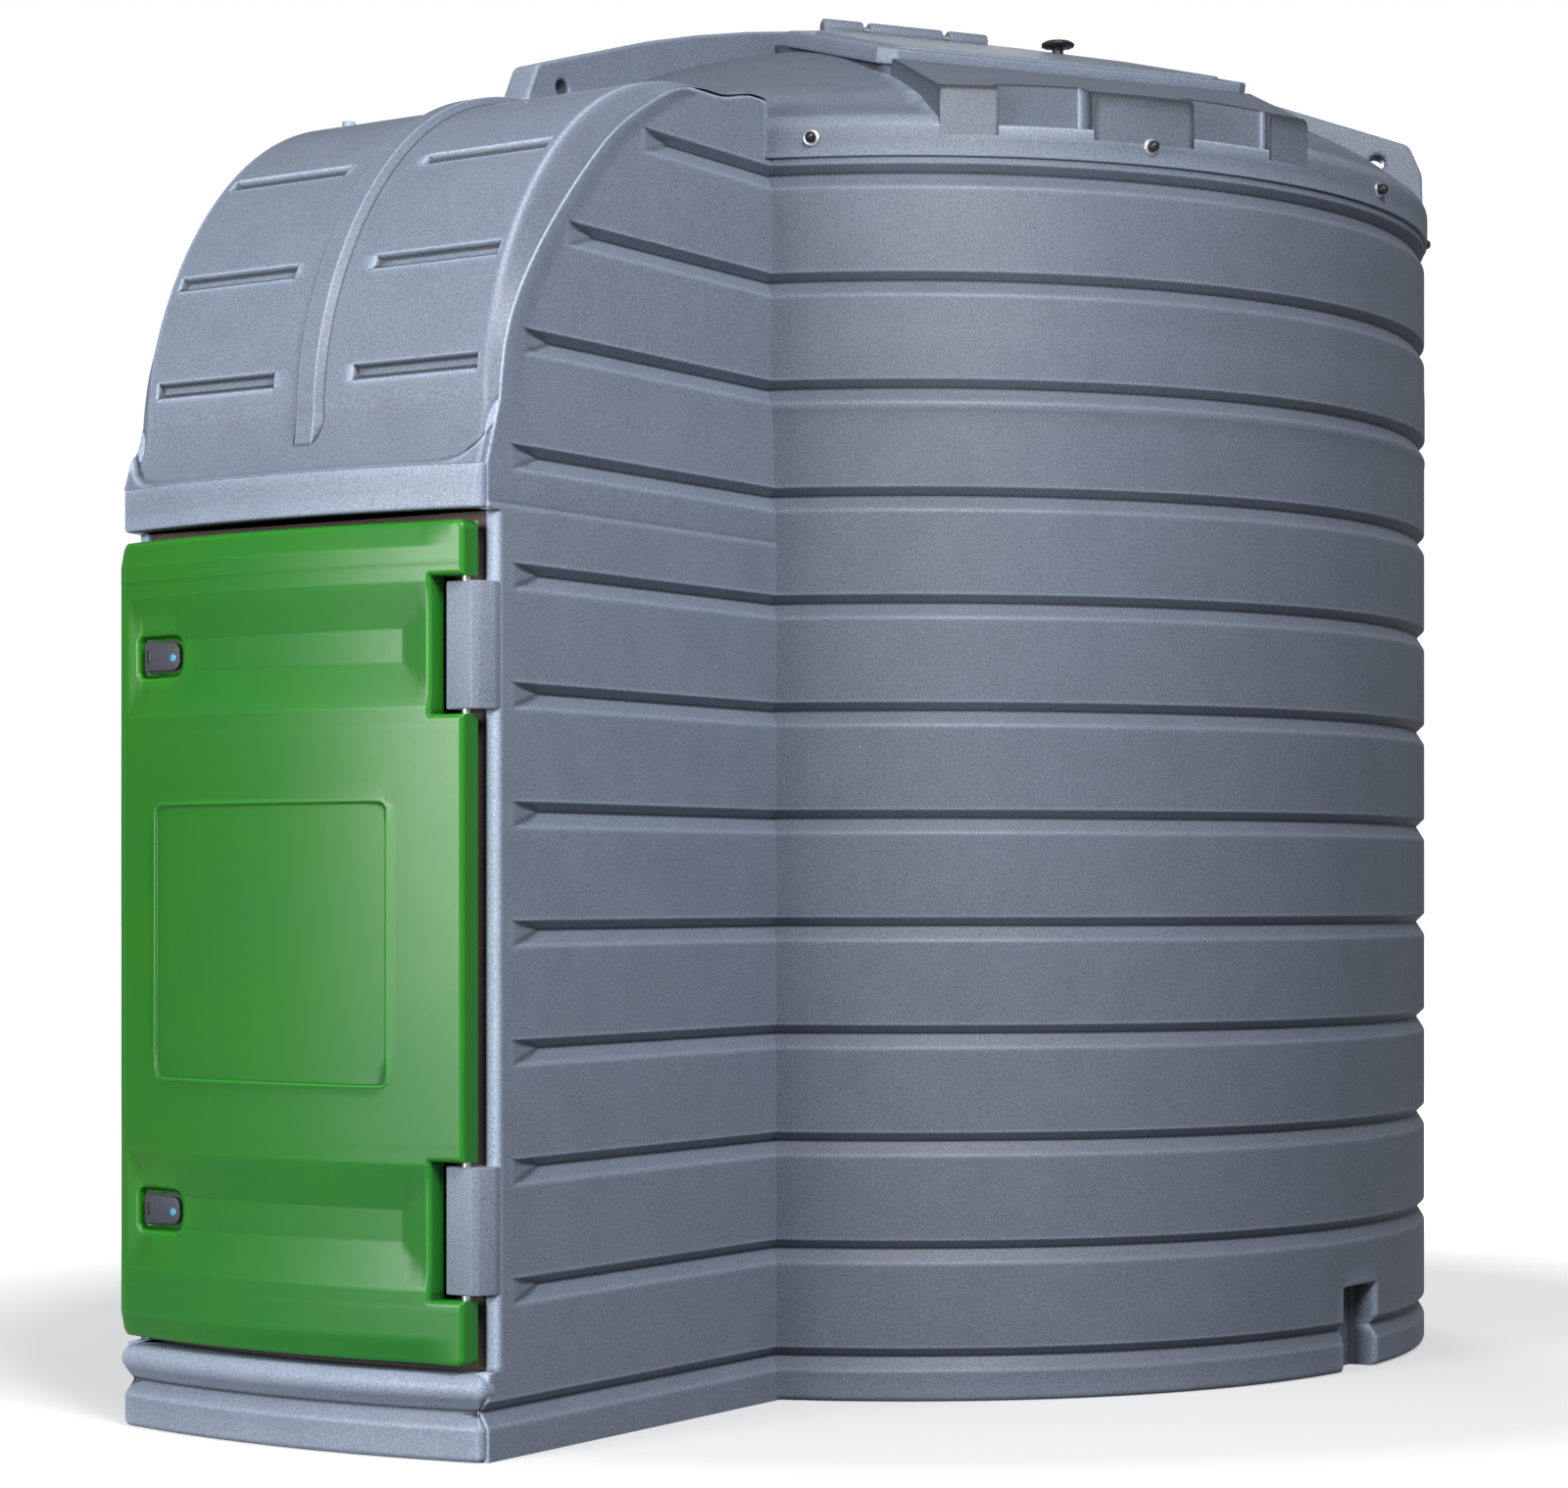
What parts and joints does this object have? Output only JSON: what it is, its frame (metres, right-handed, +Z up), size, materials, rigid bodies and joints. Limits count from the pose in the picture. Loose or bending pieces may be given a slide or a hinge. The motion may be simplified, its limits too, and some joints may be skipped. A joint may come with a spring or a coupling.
{
  "type": "bunded diesel fuel tank",
  "caption": "Grey moulded bunded diesel tank with a grooved round barrel, a hooded cabinet with a green door and a domed lid with a hatch.",
  "frame": {"origin": "on the floor, under the middle of the round barrel", "axes": "+Z up, the green door faces -Y, +X is to the right of someone facing the door from outside"},
  "size_m": [2.46, 3.326, 2.9485],
  "materials": {
    "shell": "satin, speckled",
    "inner_shell": "matte",
    "door": "satin",
    "black_plastic": "satin",
    "zinc": "zinc plated"
  },
  "bodies": {
    "tank": {"barrel_wall_right": "shell", "barrel_wall_back": "shell", "barrel_wall_left": "shell", "barrel_wall_front": "inner_shell", "barrel_floor": "inner_shell", "inner_wall": "inner_shell", "inner_roof": "inner_shell", "cabinet_side_right": "shell", "cabinet_side_left": "shell", "cabinet_plinth": "shell", "cabinet_floor": "inner_shell", "cabinet_brow": "shell", "cabinet_hood": "shell", "hood_rib": "shell", "door_frame": "inner_shell", "hinge_block_upper": "shell", "hinge_block_lower": "shell", "hinge_pins": "zinc", "lid_skirt": "shell", "lid_dome": "shell", "hatch_seat": "shell", "lifting_fins": "shell", "hatch_posts": "shell", "hatch_pin": "zinc", "rim_washers": "zinc", "rim_bolts": "black_plastic"},
    "door": {"door": "door", "latch_tray_upper": "black_plastic", "latch_tray_lower": "black_plastic"},
    "latch_lever_upper": {"latch_lever_upper": "black_plastic"},
    "latch_lever_lower": {"latch_lever_lower": "black_plastic"},
    "hatch_cover": {"hatch_cover": "shell"},
    "hatch_knob": {"hatch_knob": "black_plastic"}
  },
  "joints": [
    {"name": "door_hinge", "type": "hinge", "parent": "tank", "child": "door", "pos_m": [0.378, -2.046, 0.9], "axis": [0, 0, 1], "range_deg": [0, 100]},
    {"name": "latch_upper", "type": "hinge", "parent": "door", "child": "latch_lever_upper", "pos_m": [-0.273, -2.07177, 1.429], "axis": [0, 0, 1], "range_deg": [0, 30]},
    {"name": "latch_lower", "type": "hinge", "parent": "door", "child": "latch_lever_lower", "pos_m": [-0.273, -2.07177, 0.408], "axis": [0, 0, 1], "range_deg": [0, 30]},
    {"name": "hatch_hinge", "type": "hinge", "parent": "tank", "child": "hatch_cover", "pos_m": [0.06632, -0.04473, 2.93057], "axis": [-0.5592, -0.829, 0], "range_deg": [0, 95]},
    {"name": "hatch_knob_turn", "type": "hinge", "parent": "hatch_cover", "child": "hatch_knob", "pos_m": [0.40249, 0.06023, 2.85948], "axis": [0, 0, 1], "range_deg": [0, 180]}
  ]
}
